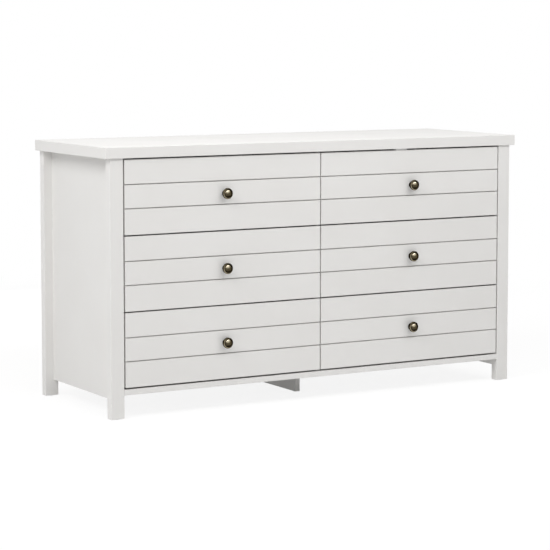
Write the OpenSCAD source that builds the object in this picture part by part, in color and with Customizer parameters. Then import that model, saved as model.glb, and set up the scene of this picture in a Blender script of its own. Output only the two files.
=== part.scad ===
// Dresser with six drawers in two columns of three.
// Origin: centre of the footprint on the floor. X runs left to right, Y from front to back, Z up.

/* [Overall] */
// Width of the top board
width = 1394; // [1200:1:1700]
// Depth of the top board
depth = 480; // [450:1:600]
// Height from the floor to the top surface
height = 762; // [700:1:1000]

/* [Case boards] */
// Thickness of the top board
top_t = 31; // [22:0.5:40]
// Overhang of the top beyond the legs at each side
side_over = 15; // [5:0.5:30]
// Overhang of the top beyond the legs at the front
front_over = 6; // [2:0.5:20]
// Thickness of the bottom board, partition and rear rail
board_t = 16; // [15:0.5:22]
// Thickness of the side panels
side_t = 14; // [14:0.5:22]
// Height of the side panels' lower edge above the floor
side_low = 48; // [30:1:60]
// Clear height under the bottom board
base_gap = 67; // [62:1:110]
// Height of the rear rail under the top
rail_h = 70; // [60:1:110]
// Height of the rear rail that shows above the back panel
rail_show = 26; // [22:1:30]
// Thickness of the back panel
back_t = 3; // [2.5:0.1:6]
// How far the back panel sits inside the legs' rear faces
back_inset = 1; // [0.9:0.1:3]
// Width of the back panel's seat on each rear leg
seat_w = 12; // [10:0.5:18]
// Radius along the boards' edges
edge_r = 1.2; // [0.6:0.1:2]

/* [Legs and foot] */
// Width of a leg, seen from the front
leg_w = 41; // [38:0.5:60]
// Depth of a leg, seen from the side
leg_d = 26; // [24:0.5:40]
// Thickness of the centre foot
foot_t = 15; // [12:0.5:22]
// How far the centre foot starts behind the legs' front faces
foot_front = 138; // [60:1:180]
// How far the centre foot ends before the back panel
foot_rear = 25; // [10:1:80]
// How far the centre foot stands to the right of the middle
foot_shift = 4; // [0:0.5:10]
// Height of the floor glides
glide_h = 1.5; // [1:0.1:5]
// Radius of a glide under a leg
glide_r = 9; // [7:0.5:11]
// Least width of the centre foot that shows on each side of its glides
glide_in = 0.5; // [0.5:0.1:2]

/* [Drawer fronts] */
// Thickness of a drawer front
front_t = 16; // [14:0.5:22]
// Gap between a front and the leg beside it
side_gap = 4.5; // [3:0.1:6]
// Gap between the two columns of fronts
mid_gap = 4; // [3:0.1:6]
// Gap between fronts, and between the top front and the top board
row_gap = 4.2; // [3:0.1:6]
// Gap between the lowest front and the bottom board
low_gap = 5; // [3:0.1:8]
// Height of a front's top plank, down to the middle of its groove
top_plank = 69.3; // [62:0.1:74]
// Height of a front's middle plank, from groove to groove
mid_plank = 67.5; // [62:0.1:72]
// Width of a plank groove
groove_w = 3.2; // [2:0.1:5]
// Depth of a plank groove
groove_d = 7; // [2:0.5:8]

/* [Drawer boxes] */
// Height of a drawer's sides
box_h = 150; // [120:1:165]
// Thickness of a drawer's sides and back
box_t = 12; // [11:0.5:15]
// How far a drawer box starts above its front's lower edge
box_rise = 20; // [12:1:30]
// Room between a drawer box and the rear rail
rear_room = 38; // [20:1:80]
// Thickness of a drawer's bottom
floor_t = 3; // [2.5:0.1:5]
// Height of the drawer bottom above the sides' lower edges
floor_rise = 12; // [8:0.5:20]
// How deep the drawer bottom reaches into its grooves
floor_in = 5; // [3:0.5:7]
// Clearance of the drawer bottom in its grooves
floor_gap = 0.15; // [0.05:0.05:0.3]

/* [Knobs] */
// Radius of a knob's head
knob_r = 15.75; // [13:0.25:20]
// Thickness of the ring behind a knob's domed face
ring_t = 7; // [4:0.25:9]
// Rounding of the ring's rim, front and back
ring_edge = 2; // [0.5:0.25:2]
// How far the domed face is set in from the ring
ring_step = 5.5; // [2:0.25:7]
// How far the face bulges from the ring
dome_h = 3.5; // [2:0.25:8]
// Length of the neck between the base and the ring
neck_l = 9.5; // [6:0.5:18]
// Radius of the neck at its waist
neck_r = 5.5; // [4.5:0.25:7]
// Radius of a knob's base
foot_r = 9.75; // [8.5:0.25:13]
// Thickness of a knob's base
foot_h = 2.5; // [2:0.25:4]

/* [Slides] */
// Space that a slide fills between the case and the drawer box
slide_t = 12.7; // [12:0.1:14]
// Height of the channel fixed to the case
channel_h = 35; // [32:0.5:45]
// Depth of the channel
channel_d = 9.5; // [9:0.1:10]
// Height of the channel's lips
lip_h = 3; // [2.5:0.1:4]
// Thickness of the slides' steel
steel_t = 1.2; // [1:0.1:1.5]
// Running clearance between the channel and the rail on the drawer
run_gap = 0.3; // [0.2:0.05:0.4]
// How far the partition starts behind the drawer fronts
part_set = 1; // [0.5:0.5:4]
// How far the slides start behind the drawer fronts
slide_set = 2; // [1:0.5:6]
// Height of the slides' centre line above the box's lower edge
slide_up = 62; // [45:1:75]

/* [Fastenings] */
// Radius of a slide screw's shank
screw_r = 1.75; // [1.5:0.05:2]
// Length of a slide screw in the board
screw_l = 7; // [5:0.5:7]
// Radius of a slide screw's head
screw_head_r = 3.5; // [3:0.1:4]
// Thickness of a slide screw's head
screw_head_t = 1.8; // [1.4:0.1:2]
// Distance of the outer slide screws from the slide's ends
screw_in = 35; // [20:1:60]
// Radius of the machine screw in a knob
bolt_r = 2; // [1.75:0.05:2.5]
// Radius of the machine screw's head
bolt_head_r = 4; // [3.5:0.25:5]
// Thickness of the machine screw's head
bolt_head_t = 2.5; // [2:0.25:3]
// How far the machine screw reaches into the knob
bolt_in = 11; // [8:0.5:13]
// Radius of a cam lock
cam_r = 7.5; // [6:0.25:8]
// Depth of a cam lock
cam_d = 11.5; // [9:0.25:12]
// Distance of a cam lock from the joint that it draws together
cam_reach = 34; // [24:0.5:34]
// Radius of a cam bolt
cam_bolt_r = 3; // [2.5:0.25:3.5]
// How far a cam bolt is screwed into the board beyond the joint
cam_bolt_in = 10; // [8:0.5:11]
// Distance of the cam bolts from the panels' ends
cam_end = 60; // [40:1:90]
// Radius of a back panel nail
nail_r = 0.8; // [0.6:0.05:1]
// Length of a back panel nail in the board behind
nail_l = 10; // [8:0.5:12]
// Radius of a nail's head
nail_head_r = 2.5; // [2:0.1:3]
// Thickness of a nail's head
nail_head_t = 0.7; // [0.5:0.1:0.8]
// Greatest distance between nails
nail_pitch = 160; // [100:5:220]
// Distance of the outermost nails from the boards' ends
nail_end = 20; // [12:1:30]
// Clearance around a screw, bolt, nail or cam lock in its hole, and under a screw's head
hole_gap = 0.1; // [0.05:0.05:0.2]
// Least board left beyond the tip of a screw or bolt, and behind a cam lock
tip_skin = 2; // [1:0.5:3]
// Distance between the tips of two screws that meet in the partition
tip_gap = 1; // [0.6:0.1:2]
// Distance of a wall strap's pilot hole from the middle
strap_x = 400; // [200:5:500]
// Radius of a wall strap's pilot hole
strap_r = 1.5; // [1.25:0.05:2]
// Depth of a wall strap's pilot hole in the rear rail
strap_l = 12; // [10:0.5:14]

/* [Stop pad] */
// Length of the stop pad under the top
pad_l = 40; // [30:1:60]
// Distance of the stop pad's centre from the middle
pad_x = 283; // [150:1:400]
// How far the stop pad sits behind the fronts' faces
pad_set = 1; // [0:0.5:4]
// Clearance between the stop pad and the drawer front below
pad_gap = 0.4; // [0.3:0.1:0.8]

/* [Hidden] */
rows = 3;
// Each drawer: its name, its column (-1 left, 1 right) and its row from the bottom
drawers = [
    ["top_left_drawer", -1, 2], ["top_right_drawer", 1, 2],
    ["middle_left_drawer", -1, 1], ["middle_right_drawer", 1, 1],
    ["bottom_left_drawer", -1, 0], ["bottom_right_drawer", 1, 0]];
drawer_pieces = ["front", "left_side", "right_side", "back", "bottom", "knob", "slide_rails"];
$fn = 48;
// How far a cut runs past the surface that it opens
past = 1;

// Colours of the finishes
white = [0.87, 0.87, 0.86];
raw_board = [0.82, 0.77, 0.68];
bronze = [0.36, 0.31, 0.20];
steel = [0.72, 0.73, 0.74];
nylon = [0.92, 0.92, 0.90];

// The case: the legs' front faces, their rear faces and the boards between them
knob_out = foot_h + neck_l + ring_t + dome_h;
case_d = depth - front_over;
face_y = (max(knob_out, front_over) - case_d) / 2;
rear_y = face_y + case_d;
back_y = rear_y - back_inset - back_t;
rail_y = back_y - board_t;
top_z = height - top_t;
leg_x = width / 2 - side_over;
bay_x = leg_x - leg_w;
seat_x = bay_x + seat_w;
part_x = board_t / 2;
back_top_z = top_z - rail_show;
base_z = base_gap + board_t;
base_mid_z = base_gap + board_t / 2;

// The drawer fronts
front_h = (top_z - base_z - low_gap - rows * row_gap) / rows;
front_w = bay_x - side_gap - mid_gap / 2;
front_x = (bay_x - side_gap + mid_gap / 2) / 2;
front_back_y = face_y + front_t;

// The drawer boxes, which hang between the side panels and the partition
box_x = (bay_x + part_x) / 2;
box_w = bay_x - part_x - 2 * slide_t;
box_l = rail_y - front_back_y - rear_room;
inside_w = box_w - 2 * box_t;
inside_l = box_l - box_t;

// The slides: a lipped channel on the case and a hat-shaped rail on the drawer
slide_y = front_back_y + slide_set;
slide_l = box_l - slide_set;
flange_z = channel_h / 2 - steel_t;
brim_z = flange_z - run_gap;
hat_z = flange_z - lip_h - run_gap;
brim_x = channel_d - 2 * steel_t - run_gap;
crown_x = slide_t - steel_t;
case_screw_l = min(screw_l, (board_t - tip_gap) / 2, side_t - tip_skin);
box_screw_l = min(screw_l, box_t - tip_skin);
case_head_x = steel_t + hole_gap;
box_head_x = crown_x - hole_gap;
screw_ys = [screw_in, slide_l / 2, slide_l - screw_in];

// Cam joints: where two boards meet, the turn that sets the bolt's way, and the lock's board
cam_ys = [face_y + leg_d + cam_end, rear_y - leg_d - cam_end];
bolt_depth = min(cam_bolt_in, side_t - tip_skin);
cam_joints = [for (i = [0, 1]) each [
    [[-bay_x - side_t / 2, cam_ys[i], top_z], [0, 0, 0], side_t],
    [[bay_x + side_t / 2, cam_ys[i], top_z], [0, 0, 180], side_t],
    [[0, cam_ys[i], top_z], [0, 0, i * 180], board_t],
    [[bay_x, cam_ys[i], base_mid_z], [0, 90, 0], board_t],
    [[-bay_x, cam_ys[i], base_mid_z], [0, 90, 180], board_t]]];

// Nails around the back panel and down its middle, each as [x, z]
nail_side_x = bay_x + seat_w / 2;
nail_end_x = bay_x - nail_end;
nail_top_z = (back_top_z + top_z - rail_h) / 2;
nails_across = ceil(nail_end_x / nail_pitch);
nails_up = ceil((nail_top_z - base_mid_z) / nail_pitch);
nail_spots = concat(
    [for (z = [base_mid_z, nail_top_z], i = [-nails_across : nails_across])
        [i * nail_end_x / nails_across, z]],
    [for (x = [-nail_side_x, 0, nail_side_x], i = [1 : nails_up - 1])
        [x, base_mid_z + i * (nail_top_z - base_mid_z) / nails_up]]);

// Heights of a drawer front, its box and its slides, by row
function front_z(row) = base_z + low_gap + row * (front_h + row_gap);
function box_z(row) = front_z(row) + box_rise;
function slide_z(row) = box_z(row) + slide_up;

// ---- Shapes that several pieces use ----

// A rectangle with rounded corners
module eased(s) {
    translate([edge_r, 0]) square([s[0] - 2 * edge_r, s[1]]);
    translate([0, edge_r]) square([s[0], s[1] - 2 * edge_r]);
    for (x = [edge_r, s[0] - edge_r], y = [edge_r, s[1] - edge_r])
        translate([x, y]) circle(edge_r);
}

// A board between two corners, with its edges along X, Y or Z eased
module board_x(low, high)
    let (s = high - low)
    translate(low) rotate([90, 0, 90]) linear_extrude(s[0]) eased([s[1], s[2]]);

module board_y(low, high)
    let (s = high - low)
    translate([low[0], high[1], low[2]]) rotate([90, 0, 0]) linear_extrude(s[1]) eased([s[0], s[2]]);

module board_z(low, high)
    let (s = high - low)
    translate(low) linear_extrude(s[2]) eased([s[0], s[1]]);

// A plain block between two corners
module block(low, high)
    translate(low) cube(high - low);

// Round bars along X and Y from point p, with radius r and length l
module bar_x(p, r, l)
    translate(p) rotate([0, 90, 0]) cylinder(r = r, h = l);

module bar_y(p, r, l)
    translate(p) rotate([-90, 0, 0]) cylinder(r = r, h = l);

// ---- Fastenings and the holes that they sit in ----

// One cam joint: a lock in a pocket draws the bolt that is screwed into the next board.
// The boards meet at z = 0, the bolt points along +Z and the lock's face looks along +X.
module cam_joint(thickness) {
    lock_l = min(cam_d, thickness - tip_skin);
    bar_x([thickness / 2 - lock_l, 0, -cam_reach], cam_r, lock_l);
    bolt_low = -cam_reach + cam_r + hole_gap;
    translate([0, 0, bolt_low]) cylinder(r = cam_bolt_r, h = bolt_depth - bolt_low);
}

module cam_joint_hole(thickness) {
    lock_l = min(cam_d, thickness - tip_skin);
    bar_x([thickness / 2 - lock_l, 0, -cam_reach], cam_r + hole_gap, lock_l + past);
    translate([0, 0, -cam_reach])
        cylinder(r = cam_bolt_r + hole_gap, h = cam_reach + bolt_depth + hole_gap);
}

module cam_holes()
    for (j = cam_joints) translate(j[0]) rotate(j[1]) cam_joint_hole(j[2]);

module nail_holes()
    for (n = nail_spots)
        bar_y([n[0], back_y - nail_l - hole_gap, n[1]], nail_r + hole_gap, nail_l + back_t + past);

// Puts its children on both walls of a bay, at a row's slide height, with +X pointing off the wall
module at_walls(col, row)
    for (way = [-1, 1])
        translate([col * (way == col ? part_x : bay_x), slide_y, slide_z(row)])
            rotate([0, way > 0 ? 0 : 180, 0]) children();

module case_screw_holes()
    for (col = [-1, 1], row = [0 : rows - 1])
        at_walls(col, row)
            for (y = screw_ys)
                bar_x([-case_screw_l - hole_gap, y, 0], screw_r + hole_gap, case_screw_l + past);

module box_screw_holes(col, row)
    at_walls(col, row)
        for (y = screw_ys)
            bar_x([slide_t - past, y, 0], screw_r + hole_gap, box_screw_l + hole_gap + past);

// ---- The case ----

module top_panel()
    color(white) difference() {
        intersection() {
            board_x([-width / 2, face_y - front_over, top_z], [width / 2, rear_y, height]);
            board_y([-width / 2, face_y - front_over, top_z], [width / 2, rear_y, height]);
        }
        cam_holes();
    }

// A leg at a side (-1 left, 1 right), its front face at front_y
module leg(side, front_y)
    color(white)
        board_z([side > 0 ? bay_x : -leg_x, front_y, glide_h],
                [side > 0 ? leg_x : -bay_x, front_y + leg_d, top_z]);

module rear_leg(side)
    color(white) difference() {
        leg(side, rear_y - leg_d);
        block([-seat_x, back_y, base_gap], [seat_x, rear_y + past, back_top_z]);
        nail_holes();
    }

module side_panel(side)
    color(white) difference() {
        block([side > 0 ? bay_x : -bay_x - side_t, face_y + leg_d, side_low],
              [side > 0 ? bay_x + side_t : -bay_x, rear_y - leg_d, top_z]);
        cam_holes();
        case_screw_holes();
    }

// The partition hangs from the top, stands on the bottom board and is notched for the rear rail
module centre_partition()
    color(white) difference() {
        block([-part_x, front_back_y + part_set, base_z], [part_x, back_y, top_z]);
        block([-part_x - past, rail_y, top_z - rail_h], [part_x + past, back_y + past, top_z + past]);
        cam_holes();
        case_screw_holes();
        nail_holes();
    }

module bottom_panel()
    color(white) difference() {
        board_x([-bay_x, face_y, base_gap], [bay_x, back_y, base_z]);
        cam_holes();
        nail_holes();
    }

module centre_foot()
    color(white)
        block([foot_shift - foot_t / 2, face_y + foot_front, glide_h],
              [foot_shift + foot_t / 2, back_y - foot_rear, base_gap]);

// The rear rail shows above the back panel, and takes the screws of the straps to a wall there
module rear_top_rail()
    color(white) difference() {
        block([-bay_x, rail_y, top_z - rail_h], [bay_x, back_y, top_z]);
        nail_holes();
        for (side = [-1, 1])
            bar_y([side * strap_x, back_y - strap_l, top_z - rail_show / 2], strap_r, strap_l + past);
    }

module back_panel()
    color(white) difference() {
        block([-seat_x, back_y, base_gap], [seat_x, back_y + back_t, back_top_z]);
        nail_holes();
    }

module back_panel_nails()
    color(steel) for (n = nail_spots) {
        bar_y([n[0], back_y - nail_l, n[1]], nail_r, nail_l + back_t + nail_head_t);
        bar_y([n[0], back_y + back_t, n[1]], nail_head_r, nail_head_t);
    }

module cam_fittings()
    color(steel) for (j = cam_joints) translate(j[0]) rotate(j[1]) cam_joint(j[2]);

// Round glides under the four legs and under both ends of the centre foot
module floor_glides()
    color(nylon) {
        small_r = min(glide_r, foot_t / 2 - glide_in);
        for (x = [-leg_x + leg_w / 2, leg_x - leg_w / 2], y = [face_y + leg_d / 2, rear_y - leg_d / 2])
            translate([x, y, 0]) cylinder(r = glide_r, h = glide_h);
        for (y = [face_y + foot_front + 2 * small_r, back_y - foot_rear - 2 * small_r])
            translate([foot_shift, y, 0]) cylinder(r = small_r, h = glide_h);
    }

// A pad under the top that keeps the top right drawer's front down
module stop_pad()
    color(nylon)
        block([pad_x - pad_l / 2, face_y + pad_set, top_z - row_gap + pad_gap],
              [pad_x + pad_l / 2, front_back_y, top_z]);

// ---- The slides ----

// A channel with inward lips and its screws, on a case wall
module channel()
    difference() {
        translate([0, slide_l, 0]) rotate([90, 0, 0]) linear_extrude(slide_l) {
            translate([0, -channel_h / 2]) square([steel_t, channel_h]);
            for (z = [-channel_h / 2, flange_z])
                translate([0, z]) square([channel_d, steel_t]);
            for (z = [-channel_h / 2, flange_z - lip_h])
                translate([channel_d - steel_t, z]) square([steel_t, lip_h + steel_t]);
        }
        for (y = screw_ys) bar_x([-past, y, 0], screw_r + hole_gap, steel_t + 2 * past);
    }

module bay_slides(col)
    color(steel) for (row = [0 : rows - 1]) at_walls(col, row) {
        channel();
        for (y = screw_ys) {
            bar_x([-case_screw_l, y, 0], screw_r, case_screw_l + case_head_x);
            bar_x([case_head_x, y, 0], screw_head_r, screw_head_t);
        }
    }

// The rail on a drawer side: a hat section whose brim runs inside the channel's lips
module hat_rail()
    difference() {
        translate([0, slide_l, 0]) rotate([90, 0, 0]) linear_extrude(slide_l) {
            translate([crown_x, -hat_z]) square([steel_t, 2 * hat_z]);
            for (z = [-hat_z, hat_z - steel_t])
                translate([brim_x, z]) square([slide_t - brim_x, steel_t]);
            for (z = [-brim_z, hat_z - steel_t])
                translate([brim_x, z]) square([steel_t, brim_z - hat_z + steel_t]);
        }
        for (y = screw_ys) bar_x([crown_x - past, y, 0], screw_r + hole_gap, steel_t + 2 * past);
    }

module drawer_slide_rails(col, row)
    color(steel) at_walls(col, row) {
        hat_rail();
        for (y = screw_ys) {
            bar_x([box_head_x - screw_head_t, y, 0], screw_head_r, screw_head_t);
            bar_x([box_head_x, y, 0], screw_r, slide_t + box_screw_l - box_head_x);
        }
    }

// ---- The drawers ----

// The thin bottom, or with grow the groove that it sits in
module drawer_floor(col, row, grow = 0) {
    x = col * box_x;
    z = box_z(row) + floor_rise;
    reach = floor_in + grow;
    block([x - inside_w / 2 - reach, front_back_y - reach, z - grow],
          [x + inside_w / 2 + reach, front_back_y + inside_l + reach, z + floor_t + grow]);
}

// Three planks in one board: two grooves run across the face
module drawer_front(col, row)
    color(white) difference() {
        low = [col * front_x - front_w / 2, face_y, front_z(row)];
        high = low + [front_w, front_t, front_h];
        intersection() {
            board_x(low, high);
            board_z(low, high);
        }
        for (drop = [top_plank, top_plank + mid_plank])
            block([low[0] - past, face_y - past, high[2] - drop - groove_w / 2],
                  [high[0] + past, face_y + groove_d, high[2] - drop + groove_w / 2]);
        bar_y([col * front_x, face_y - past, front_z(row) + front_h / 2],
              bolt_r + hole_gap, front_t + 2 * past);
        drawer_floor(col, row, floor_gap);
    }

// A side of the box, on its left (-1) or its right (1)
module drawer_side(col, row, side)
    color(raw_board) difference() {
        x = col * box_x + side * (inside_w + box_t) / 2;
        board_y([x - box_t / 2, front_back_y, box_z(row)],
                [x + box_t / 2, front_back_y + box_l, box_z(row) + box_h]);
        drawer_floor(col, row, floor_gap);
        box_screw_holes(col, row);
    }

module drawer_back(col, row)
    color(raw_board) difference() {
        board_x([col * box_x - inside_w / 2, front_back_y + inside_l, box_z(row)],
                [col * box_x + inside_w / 2, front_back_y + box_l, box_z(row) + box_h]);
        drawer_floor(col, row, floor_gap);
    }

module drawer_bottom(col, row)
    color(raw_board) drawer_floor(col, row);

// A mushroom knob turned about its axis, and the machine screw that holds it through the front.
// The neck flares into the ring in a quarter ellipse, and the face is a dome set in from the
// ring's rounded rim.
waist_z = foot_h + neck_l / 2;
ring_z = foot_h + neck_l;
cove = [for (a = [0 : 15 : 90])
    [foot_r - (foot_r - neck_r) * sin(a), waist_z - neck_l / 2 * cos(a)]];
rim_r = knob_r - ring_edge;
flare = [for (a = [15 : 15 : 75])
    [neck_r + (rim_r - neck_r) * (1 - cos(a)), waist_z + neck_l / 2 * sin(a)]];
ring = [for (end = [-1, 1], a = [0 : 22.5 : 90])
    let (b = end < 0 ? a - 90 : a, z = ring_z + ring_t / 2 + end * (ring_t / 2 - ring_edge))
    [rim_r + ring_edge * cos(b), z + ring_edge * sin(b)]];
dome = [for (a = [0 : 10 : 90])
    [(knob_r - ring_step) * cos(a), ring_z + ring_t + dome_h * sin(a)]];

module drawer_knob(col, row)
    translate([col * front_x, face_y, front_z(row) + front_h / 2]) rotate([90, 0, 0]) {
        color(bronze) difference() {
            rotate_extrude() polygon(concat([[0, 0], [foot_r, 0]], cove, flare, ring, dome));
            translate([0, 0, -past]) cylinder(r = bolt_r + hole_gap, h = bolt_in + hole_gap + past);
        }
        color(steel) {
            translate([0, 0, -front_t]) cylinder(r = bolt_r, h = front_t + bolt_in);
            translate([0, 0, -front_t - bolt_head_t]) cylinder(r = bolt_head_r, h = bolt_head_t);
        }
    }

top_panel();
leg(-1, face_y);  // front_left_leg
leg(1, face_y);  // front_right_leg
rear_leg(-1);  // rear_left_leg
rear_leg(1);  // rear_right_leg
side_panel(-1);  // left_side_panel
side_panel(1);  // right_side_panel
centre_partition();
bottom_panel();
centre_foot();
back_panel();
rear_top_rail();
bay_slides(-1);  // left_bay_slides
bay_slides(1);  // right_bay_slides
floor_glides();
stop_pad();
cam_fittings();
back_panel_nails();
for (d = drawers) {
    drawer_front(d[1], d[2]);
    drawer_side(d[1], d[2], -1);
    drawer_side(d[1], d[2], 1);
    drawer_back(d[1], d[2]);
    drawer_bottom(d[1], d[2]);
    drawer_knob(d[1], d[2]);
    drawer_slide_rails(d[1], d[2]);
}
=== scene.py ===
# A six-drawer dresser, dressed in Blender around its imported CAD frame. Units are metres.
import math

import bmesh
import bpy
from mathutils import Matrix, Vector


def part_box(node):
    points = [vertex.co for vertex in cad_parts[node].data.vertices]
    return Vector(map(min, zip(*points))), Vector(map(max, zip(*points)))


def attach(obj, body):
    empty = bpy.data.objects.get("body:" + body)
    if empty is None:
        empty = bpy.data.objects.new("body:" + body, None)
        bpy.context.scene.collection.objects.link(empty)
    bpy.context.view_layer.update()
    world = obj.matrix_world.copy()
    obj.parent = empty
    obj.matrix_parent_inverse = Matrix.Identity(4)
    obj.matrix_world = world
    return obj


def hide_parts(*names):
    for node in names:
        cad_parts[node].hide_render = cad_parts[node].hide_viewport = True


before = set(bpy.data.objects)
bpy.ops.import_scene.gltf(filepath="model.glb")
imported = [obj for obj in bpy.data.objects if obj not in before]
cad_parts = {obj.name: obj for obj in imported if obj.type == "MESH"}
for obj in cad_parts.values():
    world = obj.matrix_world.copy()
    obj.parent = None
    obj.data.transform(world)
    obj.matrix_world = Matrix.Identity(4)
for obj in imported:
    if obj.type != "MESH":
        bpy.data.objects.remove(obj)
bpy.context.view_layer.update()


# ---- Camera ----
# It stands to the left of the dresser and a little above its top, with a long lens, and the small
# shift keeps the legs and the sides nearly upright.
camera_data = bpy.data.cameras.new("camera")
camera_data.sensor_width = 36.0
camera_data.lens = 135.98
camera_data.shift_y = -0.1
camera_data.clip_end = 60.0
camera = bpy.data.objects.new("camera", camera_data)
camera.location = (-3.1624, -5.3931, 1.0892)
camera.rotation_euler = (math.radians(84.727), 0.0, math.radians(-30.202))
bpy.context.scene.collection.objects.link(camera)
bpy.context.scene.camera = camera
bpy.context.scene.view_settings.view_transform = "Standard"


# ---- Studio floor and walls ----
# A wide white sweep. What the camera and the reflections see of it is plain white, and the
# floor still takes the soft shadow of the dresser and throws light back up at it. A few metres
# out the floor fades into the wall.
BACKDROP_LIGHT = 0.26
FLOOR_WHITE = (0.86, 0.86, 0.86, 1.0)
FLOOR_SHADOW = (0.16, 0.16, 0.16, 1.0)
FLOOR_GLOW = 0.86
FLOOR_FADE = (1.2, 3.0)


def seen_rays(tree):
    """A number that is 1 for what the camera, a reflection or a clear material sees."""
    path = tree.nodes.new("ShaderNodeLightPath")
    total = path.outputs["Is Camera Ray"]
    for name in ("Is Glossy Ray", "Is Transmission Ray"):
        add = tree.nodes.new("ShaderNodeMath")
        add.operation = "ADD"
        add.use_clamp = True
        tree.links.new(total, add.inputs[0])
        tree.links.new(path.outputs[name], add.inputs[1])
        total = add.outputs[0]
    return total


world = bpy.data.worlds.new("studio")
world.use_nodes = True
tree = world.node_tree
lit = tree.nodes["Background"]
lit.inputs["Color"].default_value = (1.0, 1.0, 1.0, 1.0)
lit.inputs["Strength"].default_value = BACKDROP_LIGHT
seen = tree.nodes.new("ShaderNodeBackground")
seen.inputs["Color"].default_value = (1.0, 1.0, 1.0, 1.0)
seen.inputs["Strength"].default_value = 1.0
mix = tree.nodes.new("ShaderNodeMixShader")
tree.links.new(seen_rays(tree), mix.inputs[0])
tree.links.new(lit.outputs[0], mix.inputs[1])
tree.links.new(seen.outputs[0], mix.inputs[2])
tree.links.new(mix.outputs[0], tree.nodes["World Output"].inputs["Surface"])
bpy.context.scene.world = world

floor_finish = bpy.data.materials.new("studio_floor")
floor_finish.use_nodes = True
tree = floor_finish.node_tree
tree.nodes.clear()
white = tree.nodes.new("ShaderNodeBsdfDiffuse")
white.inputs["Color"].default_value = FLOOR_WHITE
shadow = tree.nodes.new("ShaderNodeBsdfDiffuse")
shadow.inputs["Color"].default_value = FLOOR_SHADOW
glow = tree.nodes.new("ShaderNodeEmission")
glow.inputs["Strength"].default_value = FLOOR_GLOW
both = tree.nodes.new("ShaderNodeAddShader")
mix = tree.nodes.new("ShaderNodeMixShader")
out = tree.nodes.new("ShaderNodeOutputMaterial")
far = tree.nodes.new("ShaderNodeEmission")
reach = tree.nodes.new("ShaderNodeVectorMath")
reach.operation = "LENGTH"
tree.links.new(tree.nodes.new("ShaderNodeTexCoord").outputs["Object"], reach.inputs[0])
fade = tree.nodes.new("ShaderNodeMapRange")
fade.inputs["From Min"].default_value, fade.inputs["From Max"].default_value = FLOOR_FADE
tree.links.new(reach.outputs["Value"], fade.inputs["Value"])
sweep = tree.nodes.new("ShaderNodeMixShader")
tree.links.new(shadow.outputs[0], both.inputs[0])
tree.links.new(glow.outputs[0], both.inputs[1])
tree.links.new(fade.outputs[0], sweep.inputs[0])
tree.links.new(both.outputs[0], sweep.inputs[1])
tree.links.new(far.outputs[0], sweep.inputs[2])
tree.links.new(seen_rays(tree), mix.inputs[0])
tree.links.new(white.outputs[0], mix.inputs[1])
tree.links.new(sweep.outputs[0], mix.inputs[2])
tree.links.new(mix.outputs[0], out.inputs["Surface"])

bm = bmesh.new()
bmesh.ops.create_grid(bm, x_segments=1, y_segments=1, size=20.0)
mesh = bpy.data.meshes.new("studio_floor")
bm.to_mesh(mesh)
bm.free()
mesh.materials.append(floor_finish)
floor = bpy.data.objects.new("studio_floor", mesh)
bpy.context.scene.collection.objects.link(floor)


# ---- Lamps ----
# Soft boxes: a long one high in front, which puts the highlights on the knobs, one high on the
# left, a faint one over the top, and two low ones for the back and the right side.
def soft_box(name, place, target, width, height, power):
    lamp = bpy.data.lights.new(name, "AREA")
    lamp.shape = "RECTANGLE"
    lamp.size = width
    lamp.size_y = height
    lamp.energy = power
    obj = bpy.data.objects.new(name, lamp)
    obj.location = place
    obj.rotation_euler = (Vector(target) - Vector(place)).to_track_quat("-Z", "Y").to_euler()
    obj.visible_camera = False
    bpy.context.scene.collection.objects.link(obj)


soft_box("main_light", (0.5, -1.6, 2.15), (0.4, -0.2, 0.4), 3.0, 0.5, 29.0)
soft_box("side_light", (-2.9, -1.05, 2.7), (-0.7, 0.0, 0.5), 1.8, 1.8, 70.0)
soft_box("top_light", (0.0, 0.3, 3.6), (0.0, 0.0, 0.7), 2.6, 2.6, 21.0)
soft_box("back_light", (0.3, 2.6, 0.42), (0.0, 0.2, 0.4), 2.4, 0.6, 30.0)
soft_box("right_light", (2.8, 0.7, 0.42), (0.7, 0.0, 0.4), 1.2, 0.6, 11.0)


# ---- Case ----
# Painted fibreboard: the top, four board legs, two side panels, a partition, the bottom board,
# a centre foot and a rear rail, drawn together by cam fittings. The spray coat is a warm white
# satin with a fine orange peel.
PAINT = (0.80, 0.79, 0.772, 1.0)
PAINT_SHADE = (0.782, 0.770, 0.750, 1.0)
ORANGE_PEEL = 0.00006
DUST = 0.00001


def new_finish(name, roughness, metallic=0.0):
    """A material, its node tree, its shader and the object's own coordinates."""
    finish = bpy.data.materials.new(name)
    finish.use_nodes = True
    tree = finish.node_tree
    shader = tree.nodes["Principled BSDF"]
    shader.inputs["Roughness"].default_value = roughness
    shader.inputs["Metallic"].default_value = metallic
    place = tree.nodes.new("ShaderNodeTexCoord").outputs["Object"]
    return finish, tree, shader, place


def noise(tree, place, scale, detail=2.0, stretch=(1.0, 1.0, 1.0)):
    """A noise from 0 to 1, with about `scale` spots to the metre."""
    spread = tree.nodes.new("ShaderNodeMapping")
    spread.inputs["Scale"].default_value = stretch
    tree.links.new(place, spread.inputs["Vector"])
    spots = tree.nodes.new("ShaderNodeTexNoise")
    spots.inputs["Scale"].default_value = scale
    spots.inputs["Detail"].default_value = detail
    tree.links.new(spread.outputs[0], spots.inputs["Vector"])
    return spots.outputs["Fac"]


def ramp(tree, value, stops):
    """A colour for each value, through stops of (value, colour)."""
    node = tree.nodes.new("ShaderNodeValToRGB")
    marks = node.color_ramp.elements
    while len(marks) < len(stops):
        marks.new(1.0)
    for mark, (at, colour) in zip(marks, stops):
        mark.position = at
        mark.color = colour
    tree.links.new(value, node.inputs[0])
    return node.outputs[0]


def grey(value):
    return (value, value, value, 1.0)


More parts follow.
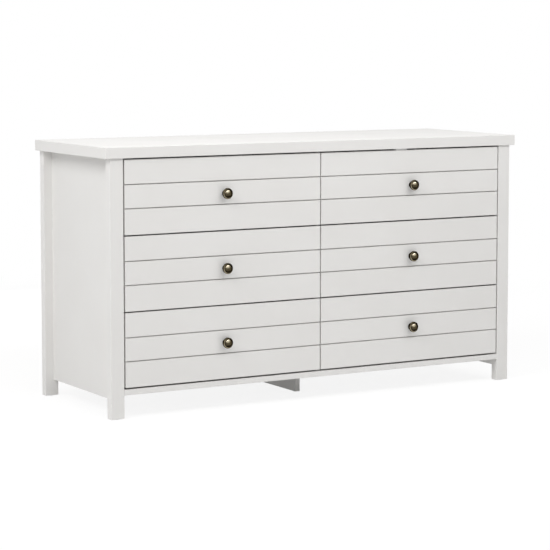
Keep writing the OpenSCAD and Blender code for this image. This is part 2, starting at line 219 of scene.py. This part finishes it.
def bumps(tree, shader, heights):
    """Surface relief from pairs of (height, depth in metres), one on top of the other."""
    below = None
    for height, depth in heights:
        node = tree.nodes.new("ShaderNodeBump")
        node.inputs["Distance"].default_value = depth
        tree.links.new(height, node.inputs["Height"])
        if below:
            tree.links.new(below, node.inputs["Normal"])
        below = node.outputs[0]
    tree.links.new(below, shader.inputs["Normal"])


def paint(node, finish):
    """Gives a CAD node its finish in all of its slots."""
    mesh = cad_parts[node].data
    if not mesh.materials:
        mesh.materials.append(finish)
    for i in range(len(mesh.materials)):
        mesh.materials[i] = finish


white_paint, tree, shader, place = new_finish("white_paint", 0.42)
cloud = noise(tree, place, 5.0, 4.0)
tree.links.new(ramp(tree, cloud, [(0.35, PAINT_SHADE), (0.65, PAINT)]),
               shader.inputs["Base Color"])
sheen_spots = noise(tree, place, 70.0, 3.0)
tree.links.new(ramp(tree, sheen_spots, [(0.3, grey(0.38)), (0.7, grey(0.47))]),
               shader.inputs["Roughness"])
bumps(tree, shader, [(noise(tree, place, 55.0), ORANGE_PEEL), (noise(tree, place, 850.0), DUST)])
for node in ("top_panel", "front_left_leg", "front_right_leg", "rear_left_leg", "rear_right_leg",
             "left_side_panel", "right_side_panel", "centre_partition", "bottom_panel",
             "centre_foot", "rear_top_rail"):
    paint(node, white_paint)


# ---- Drawer fronts ----
# Each is one board of painted fibreboard, 16 mm thick, glued to the front of its box. Two grooves
# are routed across its face to make three planks of it, flat up to their edges, which are eased
# with sandpaper before the paint.
TOP_PLANK = 0.0693
MIDDLE_PLANK = 0.0675
GROOVE_WIDTH = 0.0032
GROOVE_DEPTH = 0.007
EASED = 0.0005
CREASE = 10.0
DRAWERS = [row + "_" + side + "_drawer" for row in ("top", "middle", "bottom")
           for side in ("left", "right")]


def finished(name, bm, finish, crease=30.0):
    """Turns a bmesh into an object that is smooth but for edges over so many degrees."""
    mesh = bpy.data.meshes.new(name)
    bm.to_mesh(mesh)
    bm.free()
    mesh.shade_smooth()
    mesh.set_sharp_from_angle(angle=math.radians(crease))
    mesh.materials.append(finish)
    piece = bpy.data.objects.new(name, mesh)
    bpy.context.scene.collection.objects.link(piece)
    return piece


def grooved_front(low, high):
    """A board along X between two corners, with the two grooves in its face."""
    grooves = [high.z - TOP_PLANK, high.z - TOP_PLANK - MIDDLE_PLANK]
    outline = [(high.y, low.z), (low.y, low.z)]
    for middle in reversed(grooves):
        for y, z in ((0.0, -0.5), (1.0, -0.5), (1.0, 0.5), (0.0, 0.5)):
            outline.append((low.y + y * GROOVE_DEPTH, middle + z * GROOVE_WIDTH))
    outline += [(low.y, high.z), (high.y, high.z)]
    bm = bmesh.new()
    end = bm.faces.new([bm.verts.new((low.x, y, z)) for y, z in outline])
    moved = bmesh.ops.extrude_face_region(bm, geom=[end])["geom"]
    bmesh.ops.translate(bm, verts=[v for v in moved if isinstance(v, bmesh.types.BMVert)],
                        vec=(high.x - low.x, 0.0, 0.0))
    bmesh.ops.recalc_face_normals(bm, faces=bm.faces)
    outside = [e for e in bm.edges if e.calc_face_angle_signed() > 0.1]
    bmesh.ops.bevel(bm, geom=outside, offset=EASED, segments=3, profile=0.5, affect="EDGES",
                    material=-1)
    return bm


for drawer in DRAWERS:
    front = drawer + "_front"
    piece = finished(front + "_board", grooved_front(*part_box(front)), white_paint, CREASE)
    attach(piece, drawer)
    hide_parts(front)


# ---- Knobs ----
# Turned knobs in aged bronze: a base, a waisted neck, and a thick ring with a domed face inside
# it. The dark patina sits in the hollows and is rubbed off the front of the ring. The colour also
# holds painted light: a painted highlight on the upper left of the dome, painted shade on its
# lower part, and a painted reflection on the lower left of the ring. A machine screw with a
# crossed head holds each one from inside the drawer.
KNOB_RADIUS = 0.01575
NECK_RADIUS = 0.0055
BASE_RADIUS = 0.00975
BASE_TOP = 0.0025
RING_BOTTOM = 0.012
RING_TOP = 0.019
RIM_EDGE = 0.002
DOME_RADIUS = 0.01025
GROOVE = 0.0022
GROOVE_SINK = 0.0012
BASE_EDGE = 0.0004
NECK_SHOULDER = 0.001
CROWN = 0.0225
KNOB_CREASE = 50.0
# From dark patina in the hollows up to the bright bronze of the painted highlight.
PATINA_AND_HIGHLIGHT = [(0.0, (0.018, 0.013, 0.007, 1)), (0.15, (0.060, 0.047, 0.026, 1)),
          (0.4, (0.15, 0.122, 0.072, 1)), (0.75, (0.44, 0.385, 0.27, 1)),
          (1.0, (0.78, 0.70, 0.54, 1))]
# The painted highlight: a bright spot painted on the upper left of each dome.
HIGHLIGHT_SPOT = (-0.0032, 0.0068)
HIGHLIGHT_REACH = (0.0105, 0.0082)
# Painted light: the upper part of each dome stays lighter, and its lower part is left in painted
# shade.
DOME_UPPER_SHEEN = 0.26
DOME_SHEEN_FADE = (-0.008, -0.004)
# Wear on the front of the ring, with a painted reflection on its lower left and painted shade on
# its upper right.
RING_WEAR_AND_SHEEN = 0.32
RING_SHADED_SIDE = (0.8, 0.6)
SHANK_WEAR = 0.03
BRONZE_TINT = (0.25, 0.2, 0.12, 1.0)
ZINC_DULL = (0.50, 0.50, 0.49, 1.0)
ZINC_BRIGHT = (0.66, 0.66, 0.65, 1.0)
BOLT_HEAD = (0.004, 0.0025)
BOLT_RECESS = (0.0024, 0.0014)
HEAD_FLAT = 0.8
HEAD_SHOULDER = (0.93, 0.08)
HEAD_RIM_DROP = 0.3
HEAD_DOME = 0.0016
RECESS_ARM = 0.22
RECESS_TAPER = 0.7


def turned(bm, outline, segments):
    """Spins an outline of (radius, height) about +Z, closed at both ends on the axis."""
    verts = [bm.verts.new((r, 0.0, z)) for r, z in outline]
    edges = [bm.edges.new(pair) for pair in zip(verts, verts[1:])]
    bmesh.ops.spin(bm, geom=verts + edges, axis=(0, 0, 1), cent=(0, 0, 0), angle=2 * math.pi,
                   steps=segments, use_merge=True)
    bmesh.ops.remove_doubles(bm, verts=bm.verts, dist=1e-6)
    bmesh.ops.recalc_face_normals(bm, faces=bm.faces)


def arc(centre, radii, first, last, steps):
    """Points on an ellipse in (radius, height), from one angle to another in degrees."""
    angles = [math.radians(first + (last - first) * i / steps) for i in range(steps + 1)]
    return [(centre[0] + radii[0] * math.cos(a), centre[1] + radii[1] * math.sin(a))
            for a in angles]


def crossed_head(bm, radius, height, arm, depth):
    """A low domed screw head on the plane z = 0, with a crossed recess in its top."""
    half = arm * RECESS_ARM
    rim = bmesh.ops.create_circle(bm, cap_ends=False, segments=24,
                                  radius=radius * HEAD_FLAT)["verts"]
    rim_edges = list({e for v in rim for e in v.link_edges})
    corners = [(half, half), (arm, half), (arm, -half)]
    cross = []
    for turn in range(4):
        spin = Matrix.Rotation(-turn * math.pi / 2, 2)
        cross += [bm.verts.new((*(spin @ Vector(c)), 0.0)) for c in corners]
    cross_edges = [bm.edges.new(pair) for pair in zip(cross, cross[1:] + cross[:1])]
    bmesh.ops.translate(bm, verts=rim + cross, vec=(0.0, 0.0, height))
    bmesh.ops.triangle_fill(bm, edges=rim_edges + cross_edges, use_beauty=True,
                            use_dissolve=False)
    dome = min(height, HEAD_DOME)
    shoulder, drop = HEAD_SHOULDER
    for spread, level in ((shoulder / HEAD_FLAT, height - drop * dome),
                          (1.0 / shoulder, height - HEAD_RIM_DROP * dome), (1.0, 0.0)):
        new = bmesh.ops.extrude_edge_only(bm, edges=rim_edges)["geom"]
        rim = [g for g in new if isinstance(g, bmesh.types.BMVert)]
        rim_edges = [g for g in new if isinstance(g, bmesh.types.BMEdge)]
        for v in rim:
            v.co = Vector((v.co.x * spread, v.co.y * spread, level))
    bmesh.ops.contextual_create(bm, geom=rim_edges)
    new = bmesh.ops.extrude_edge_only(bm, edges=cross_edges)["geom"]
    for g in new:
        if isinstance(g, bmesh.types.BMVert):
            g.co = Vector((g.co.x * RECESS_TAPER, g.co.y * RECESS_TAPER, height - depth))
    bmesh.ops.contextual_create(bm, geom=[g for g in new if isinstance(g, bmesh.types.BMEdge)])
    bmesh.ops.recalc_face_normals(bm, faces=bm.faces)


bronze, tree, shader, place = new_finish("aged_bronze", 0.34, metallic=1.0)
# This attribute holds the patina's wear together with the painted highlight, shade and
# reflection.
wear_and_light = tree.nodes.new("ShaderNodeAttribute")
wear_and_light.attribute_name = "wear_and_light"
worn_and_lit = tree.nodes.new("ShaderNodeMix")
worn_and_lit.data_type = "RGBA"
worn_and_lit.blend_type = "MULTIPLY"
worn_and_lit.inputs["Factor"].default_value = 1.0
tree.links.new(ramp(tree, wear_and_light.outputs["Fac"], PATINA_AND_HIGHLIGHT), worn_and_lit.inputs["A"])
blotch = noise(tree, place, 420.0, 4.0)
tree.links.new(ramp(tree, blotch, [(0.35, grey(0.62)), (0.65, grey(1.0))]), worn_and_lit.inputs["B"])
tree.links.new(worn_and_lit.outputs["Result"], shader.inputs["Base Color"])
tree.links.new(ramp(tree, blotch, [(0.35, grey(0.26)), (0.65, grey(0.16))]),
               shader.inputs["Roughness"])
bumps(tree, shader, [(noise(tree, place, 900.0, 3.0), 0.000008)])
shader.inputs["Specular Tint"].default_value = BRONZE_TINT

zinc, tree, shader, place = new_finish("bright_zinc", 0.3, metallic=1.0)
spangle = noise(tree, place, 350.0, 3.0)
tree.links.new(ramp(tree, spangle, [(0.3, ZINC_DULL), (0.7, ZINC_BRIGHT)]),
               shader.inputs["Base Color"])
tree.links.new(ramp(tree, spangle, [(0.3, grey(0.38)), (0.7, grey(0.26))]),
               shader.inputs["Roughness"])
bumps(tree, shader, [(noise(tree, place, 1200.0, 2.0), 0.00002)])


def facing(bm, place, along):
    """Turns what was made on +Z so that it points along a direction, and puts it in its place."""
    turn = Vector(along).to_track_quat("Z", "Y").to_matrix().to_4x4()
    bmesh.ops.transform(bm, matrix=Matrix.Translation(place) @ turn, verts=bm.verts)


def knob_outline():
    """Half the section of a knob, from the middle of its base to the crown of its face."""
    waist = (BASE_TOP + RING_BOTTOM) / 2
    half_neck = waist - BASE_TOP
    outline = [(0.0, 0.0), (BASE_RADIUS - BASE_EDGE, 0.0), (BASE_RADIUS, BASE_EDGE),
               (BASE_RADIUS, BASE_TOP - BASE_EDGE), (BASE_RADIUS - BASE_EDGE, BASE_TOP)]
    flank = BASE_RADIUS - NECK_SHOULDER
    outline += arc((flank, waist), (flank - NECK_RADIUS, half_neck), 260, 180, 8)
    rim = KNOB_RADIUS - RIM_EDGE
    outline += arc((rim, waist), (rim - NECK_RADIUS, half_neck), 170, 100, 8)
    outline += arc((rim, RING_BOTTOM + RIM_EDGE), (RIM_EDGE, RIM_EDGE), -90, 0, 6)
    outline += arc((rim, RING_TOP - RIM_EDGE), (RIM_EDGE, RIM_EDGE), 0, 90, 6)
    outline += arc((DOME_RADIUS + GROOVE / 2, RING_TOP), (GROOVE / 2, GROOVE_SINK), 0, -180, 6)
    outline += arc((0.0, RING_TOP), (DOME_RADIUS, CROWN - RING_TOP), 4, 86, 14)
    return outline + [(0.0, CROWN)]


def wear_and_painted_light(x, y, z):
    """Wear, painted highlight and shade at a spot of a knob that points along +Z, with +Y up."""
    radius = math.hypot(x, y)
    if radius < DOME_RADIUS and z > RING_TOP:
        # A painted highlight on the upper left of the dome.
        bright = 1.0 - sum(((at - spot) / reach) ** 2
                           for at, spot, reach in zip((x, y), HIGHLIGHT_SPOT, HIGHLIGHT_REACH))
        # The lower part of the dome is left in painted shade.
        start, full = DOME_SHEEN_FADE
        return max(bright, min(DOME_UPPER_SHEEN, DOME_UPPER_SHEEN * (y - start) / (full - start)), 0.0)
    # The front of the ring: wear, with a painted reflection on the lower left and painted shade
    # on the upper right.
    if radius > DOME_RADIUS + GROOVE and z > RING_TOP - RIM_EDGE / 2:
        across, up = RING_SHADED_SIDE
        return RING_WEAR_AND_SHEEN - RING_WEAR_AND_SHEEN * (across * x + up * y) / radius
    return SHANK_WEAR if z < RING_BOTTOM else 0.0


for drawer in DRAWERS:
    low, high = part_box(drawer + "_knob")
    middle = Vector(((low.x + high.x) / 2, low.y + CROWN, (low.z + high.z) / 2))
    bm = bmesh.new()
    turned(bm, knob_outline(), 48)
    # Wear together with the painted highlight, shade and reflection, stored on each vertex.
    layer = bm.verts.layers.float.new("wear_and_light")
    for v in bm.verts:
        v[layer] = wear_and_painted_light(*v.co)
    facing(bm, middle, (0, -1, 0))
    piece = finished(drawer + "_turned_knob", bm, bronze, KNOB_CREASE)
    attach(piece, drawer)
    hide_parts(drawer + "_knob")

    bm = bmesh.new()
    crossed_head(bm, *BOLT_HEAD, *BOLT_RECESS)
    facing(bm, (middle.x, high.y - BOLT_HEAD[1], middle.z), (0, 1, 0))
    piece = finished(drawer + "_knob_screw", bm, zinc)
    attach(piece, drawer)
    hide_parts(drawer + "_knob")


# ---- Drawer boxes ----
# Sides and back of thin board, wrapped in a white foil with a faint linen emboss and glued at the
# corners. The bottom sits in their grooves: hardboard, white on its upper face, bare brown below.
FOIL = (0.76, 0.76, 0.75, 1.0)
FOIL_SHADE = (0.735, 0.735, 0.722, 1.0)
BARE_BOARD = (0.30, 0.19, 0.105, 1.0)
DARK_FIBRES = (0.215, 0.132, 0.071, 1.0)
PALE_FIBRES = (0.36, 0.24, 0.138, 1.0)
FACING = 0.9


def by_side(tree, axis, sign, within, outside):
    """One colour where the surface faces along an axis, and another elsewhere."""
    normal = tree.nodes.new("ShaderNodeSeparateXYZ")
    tree.links.new(tree.nodes.new("ShaderNodeTexCoord").outputs["Normal"], normal.inputs[0])
    test = tree.nodes.new("ShaderNodeMath")
    test.operation = "MULTIPLY"
    test.inputs[1].default_value = sign
    tree.links.new(normal.outputs[axis], test.inputs[0])
    over = tree.nodes.new("ShaderNodeMath")
    over.operation = "GREATER_THAN"
    over.inputs[1].default_value = FACING
    tree.links.new(test.outputs[0], over.inputs[0])
    pick = tree.nodes.new("ShaderNodeMix")
    pick.data_type = "RGBA"
    tree.links.new(over.outputs[0], pick.inputs["Factor"])
    tree.links.new(outside, pick.inputs["A"])
    tree.links.new(within, pick.inputs["B"])
    return pick.outputs["Result"]


def fibres(tree, place):
    """The mottled brown of bare hardboard."""
    return ramp(tree, noise(tree, place, 380.0, 6.0),
                [(0.25, DARK_FIBRES), (0.5, BARE_BOARD), (0.75, PALE_FIBRES)])


def foil_white(tree, place):
    """The white of a thin printed foil."""
    return ramp(tree, noise(tree, place, 9.0, 3.0), [(0.3, FOIL_SHADE), (0.7, FOIL)])


foil, tree, shader, place = new_finish("white_foil", 0.5)
tree.links.new(by_side(tree, "Z", -1.0, fibres(tree, place), foil_white(tree, place)),
               shader.inputs["Base Color"])
threads = noise(tree, place, 500.0, 1.0, (1.0, 1.0, 6.0))
bumps(tree, shader, [(threads, 0.00003)])

drawer_floor, tree, shader, place = new_finish("drawer_floor", 0.55)
tree.links.new(by_side(tree, "Z", 1.0, foil_white(tree, place), fibres(tree, place)),
               shader.inputs["Base Color"])
bumps(tree, shader, [(noise(tree, place, 300.0, 3.0), 0.00003)])

for drawer in DRAWERS:
    for part in ("_left_side", "_right_side", "_back"):
        paint(drawer + part, foil)
    paint(drawer + "_bottom", drawer_floor)


# ---- Slides ----
# Roll-formed steel: a lipped channel screwed to the case and a hat-shaped rail screwed to the
# drawer, both with a dull zinc coat that is rubbed bright along the running edges.
STEEL_DULL = (0.43, 0.44, 0.45, 1.0)
STEEL_RUBBED = (0.60, 0.61, 0.62, 1.0)

slide_steel, tree, shader, place = new_finish("slide_steel", 0.36, metallic=1.0)
streaks = noise(tree, place, 60.0, 4.0, (1.0, 0.08, 1.0))
tree.links.new(ramp(tree, streaks, [(0.3, STEEL_DULL), (0.7, STEEL_RUBBED)]),
               shader.inputs["Base Color"])
tree.links.new(ramp(tree, streaks, [(0.3, grey(0.42)), (0.7, grey(0.3))]),
               shader.inputs["Roughness"])
bumps(tree, shader, [(noise(tree, place, 700.0, 2.0, (1.0, 0.1, 1.0)), 0.00002)])
for node in ["left_bay_slides", "right_bay_slides"] + [d + "_slide_rails" for d in DRAWERS]:
    paint(node, slide_steel)


# ---- Slide screws ----
# Pan-head screws with a crossed recess, three to each length of steel. The frame has their
# shanks and heads; these are the domed crowns on the heads.
HEAD_TOP = 0.0031
CROWN_SIZE = (0.0035, 0.0008)
CROWN_RECESS = (0.0021, 0.0006)
SCREW_IN = 0.035
SLIDE_GAP = 0.0127


def joined(bm, part):
    """Adds one bmesh to another, and lets it go."""
    mesh = bpy.data.meshes.new("part")
    part.to_mesh(mesh)
    part.free()
    bm.from_mesh(mesh)
    bpy.data.meshes.remove(mesh)


def with_heads(bm, spots, along):
    """Adds a crossed head at each spot, all facing along one direction."""
    for spot in spots:
        head = bmesh.new()
        crossed_head(head, *CROWN_SIZE, *CROWN_RECESS)
        facing(head, spot, along)
        joined(bm, head)


case_crowns = bmesh.new()
for drawer in DRAWERS:
    low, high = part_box(drawer + "_slide_rails")
    lengths = [low.y + SCREW_IN, (low.y + high.y) / 2, high.y - SCREW_IN]
    z = (low.z + high.z) / 2
    box_crowns = bmesh.new()
    for side, way in (("_left_side", 1), ("_right_side", -1)):
        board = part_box(drawer + side)[0 if way > 0 else 1].x
        on_box = [(board - way * HEAD_TOP, y, z) for y in lengths]
        on_case = [(board - way * (SLIDE_GAP - HEAD_TOP), y, z) for y in lengths]
        with_heads(box_crowns, on_box, (-way, 0, 0))
        with_heads(case_crowns, on_case, (way, 0, 0))
    piece = finished(drawer + "_slide_screws", box_crowns, zinc)
    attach(piece, drawer)
piece = finished("case_slide_screws", case_crowns, zinc)
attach(piece, "case")


# ---- Back panel ----
# A sheet of hardboard let into the rear legs, painted white inside and bare outside, and held by
# small nails with domed heads.
hardboard, tree, shader, place = new_finish("hardboard", 0.72)
tree.links.new(by_side(tree, "Y", -1.0, foil_white(tree, place), fibres(tree, place)),
               shader.inputs["Base Color"])
bumps(tree, shader, [(noise(tree, place, 420.0, 3.0), 0.00008)])
paint("back_panel", hardboard)

NAIL_HEAD = 0.0025
NAIL_SHANK = 0.0008
NAIL_POINT = 0.002
NAIL_END = 0.020
low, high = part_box("back_panel_nails")
outer_x, end_x = high.x - NAIL_HEAD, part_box("rear_top_rail")[1].x - NAIL_END
rows_z = (low.z + NAIL_HEAD, high.z - NAIL_HEAD)
rise = (rows_z[1] - rows_z[0]) / 4
nail_spots = [(x * end_x / 4, z) for z in rows_z for x in range(-4, 5)]
nail_spots += [(x, rows_z[0] + i * rise) for x in (-outer_x, 0.0, outer_x) for i in (1, 2, 3)]
head_t = high.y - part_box("back_panel")[1].y
length = high.y - low.y - head_t
bm = bmesh.new()
for x, z in nail_spots:
    nail = bmesh.new()
    turned(nail, [(0.0, -length), (NAIL_SHANK, NAIL_POINT - length), (NAIL_SHANK, 0.0),
                  (NAIL_HEAD, 0.0), (NAIL_HEAD, 0.25 * head_t), (0.8 * NAIL_HEAD, 0.7 * head_t),
                  (0.45 * NAIL_HEAD, 0.93 * head_t), (0.0, head_t)], 14)
    facing(nail, (x, high.y - head_t, z), (0, 1, 0))
    joined(bm, nail)
piece = finished("back_panel_domed_nails", bm, zinc)
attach(piece, "case")
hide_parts("back_panel_nails")


# ---- Cam fittings ----
# Die-cast zinc locks set in round pockets, each turned with a screwdriver to draw in the threaded
# bolt that stands in the next board. Two join each side, the partition and each end of the
# bottom board.
LOCK = (0.0075, 0.0115)
LOCK_RECESS = (0.0035, 0.0028)
LOCK_REACH = 0.034
CAM_BOLT_RADIUS = 0.003
CAM_BOLT_ENDS = (-0.0264, 0.010)
THREAD = (0.00125, 0.0006)
CAM_END = 0.060


def threaded_bolt(radius, bottom, top, pitch, depth):
    """Half the section of a bolt: a plain shank that ends in a coarse thread above z = 0."""
    outline = [(0.0, bottom), (radius - depth, bottom), (radius, bottom + depth), (radius, 0.0)]
    z = pitch / 2
    while z + pitch < top - depth:
        outline += [(radius - depth, z), (radius, z + pitch / 2)]
        z += pitch
    return outline + [(radius - depth, z), (radius - 2 * depth, top), (0.0, top)]


left_side, right_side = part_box("left_side_panel"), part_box("right_side_panel")
partition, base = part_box("centre_partition"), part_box("bottom_panel")
under_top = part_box("top_panel")[0].z
base_z = (base[0].z + base[1].z) / 2
joints = []
for y, way in ((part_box("front_left_leg")[1].y + CAM_END, 1),
               (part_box("rear_left_leg")[0].y - CAM_END, -1)):
    for board, look in ((left_side, 1), (right_side, -1), (partition, way)):
        middle = (board[0].x + board[1].x) / 2
        joints.append(((middle, y, under_top), (0, 0, 1), (look, 0, 0), board[1].x - middle))
    for x, out in ((base[0].x, -1), (base[1].x, 1)):
        joints.append(((x, y, base_z), (out, 0, 0), (0, 0, -1), base[1].z - base_z))
fittings = bmesh.new()
for meet, bolt_way, face_way, half in joints:
    lock = bmesh.new()
    crossed_head(lock, *LOCK, *LOCK_RECESS)
    centre = Vector(meet) - LOCK_REACH * Vector(bolt_way)
    facing(lock, centre + (half - LOCK[1]) * Vector(face_way), face_way)
    bolt = bmesh.new()
    turned(bolt, threaded_bolt(CAM_BOLT_RADIUS, *CAM_BOLT_ENDS, *THREAD), 16)
    facing(bolt, meet, bolt_way)
    joined(fittings, lock)
    joined(fittings, bolt)
piece = finished("cam_locks_and_bolts", fittings, zinc)
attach(piece, "case")
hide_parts("cam_fittings")


# ---- Glides ----
# White nylon discs, one nailed under each leg and one under each end of the centre foot. The sole
# has a rounded edge and a dimple that takes the nail.
GLIDE = (0.009, 0.0015)
FOOT_GLIDE = 0.007
GLIDE_EDGE = 0.0008
DIMPLE = (0.0024, 0.0016, 0.0008)
NYLON_SHADE = (0.81, 0.805, 0.79, 1.0)
NYLON = (0.87, 0.865, 0.85, 1.0)

nylon, tree, shader, place = new_finish("nylon", 0.45)
tree.links.new(ramp(tree, noise(tree, place, 120.0, 3.0), [(0.3, NYLON_SHADE), (0.7, NYLON)]),
               shader.inputs["Base Color"])
bumps(tree, shader, [(noise(tree, place, 500.0, 2.0), 0.00004)])

discs = []
for leg in ("front_left_leg", "front_right_leg", "rear_left_leg", "rear_right_leg"):
    low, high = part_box(leg)
    discs.append(((low.x + high.x) / 2, (low.y + high.y) / 2, GLIDE[0]))
low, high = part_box("centre_foot")
for y in (low.y + 2 * FOOT_GLIDE, high.y - 2 * FOOT_GLIDE):
    discs.append(((low.x + high.x) / 2, y, FOOT_GLIDE))
glides = bmesh.new()
for x, y, radius in discs:
    disc = bmesh.new()
    mouth, floor_radius, deep = DIMPLE
    turned(disc, [(0.0, deep), (floor_radius, deep), (mouth, 0.0)]
           + arc((radius - GLIDE_EDGE, GLIDE_EDGE), (GLIDE_EDGE, GLIDE_EDGE), -90, 0, 5)
           + [(radius, GLIDE[1]), (0.0, GLIDE[1])], 36)
    bmesh.ops.translate(disc, verts=disc.verts, vec=(x, y, 0.0))
    joined(glides, disc)
piece = finished("nylon_glides", glides, nylon)
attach(piece, "case")
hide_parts("floor_glides")


# ---- Stop pad ----
# A moulded nylon block pinned under the top, right above the top right drawer's front. It stops
# that front from tipping up when the drawer is pulled.
PAD_EDGE = 0.0003

low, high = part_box("stop_pad")
bm = bmesh.new()
bmesh.ops.create_cube(bm, size=1.0)
bmesh.ops.scale(bm, verts=bm.verts, vec=high - low)
bmesh.ops.translate(bm, verts=bm.verts, vec=(low + high) / 2)
bmesh.ops.bevel(bm, geom=bm.edges[:], offset=PAD_EDGE, segments=3, profile=0.5, affect="EDGES",
                material=-1)
piece = finished("moulded_stop_pad", bm, nylon)
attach(piece, "case")
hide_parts("stop_pad")
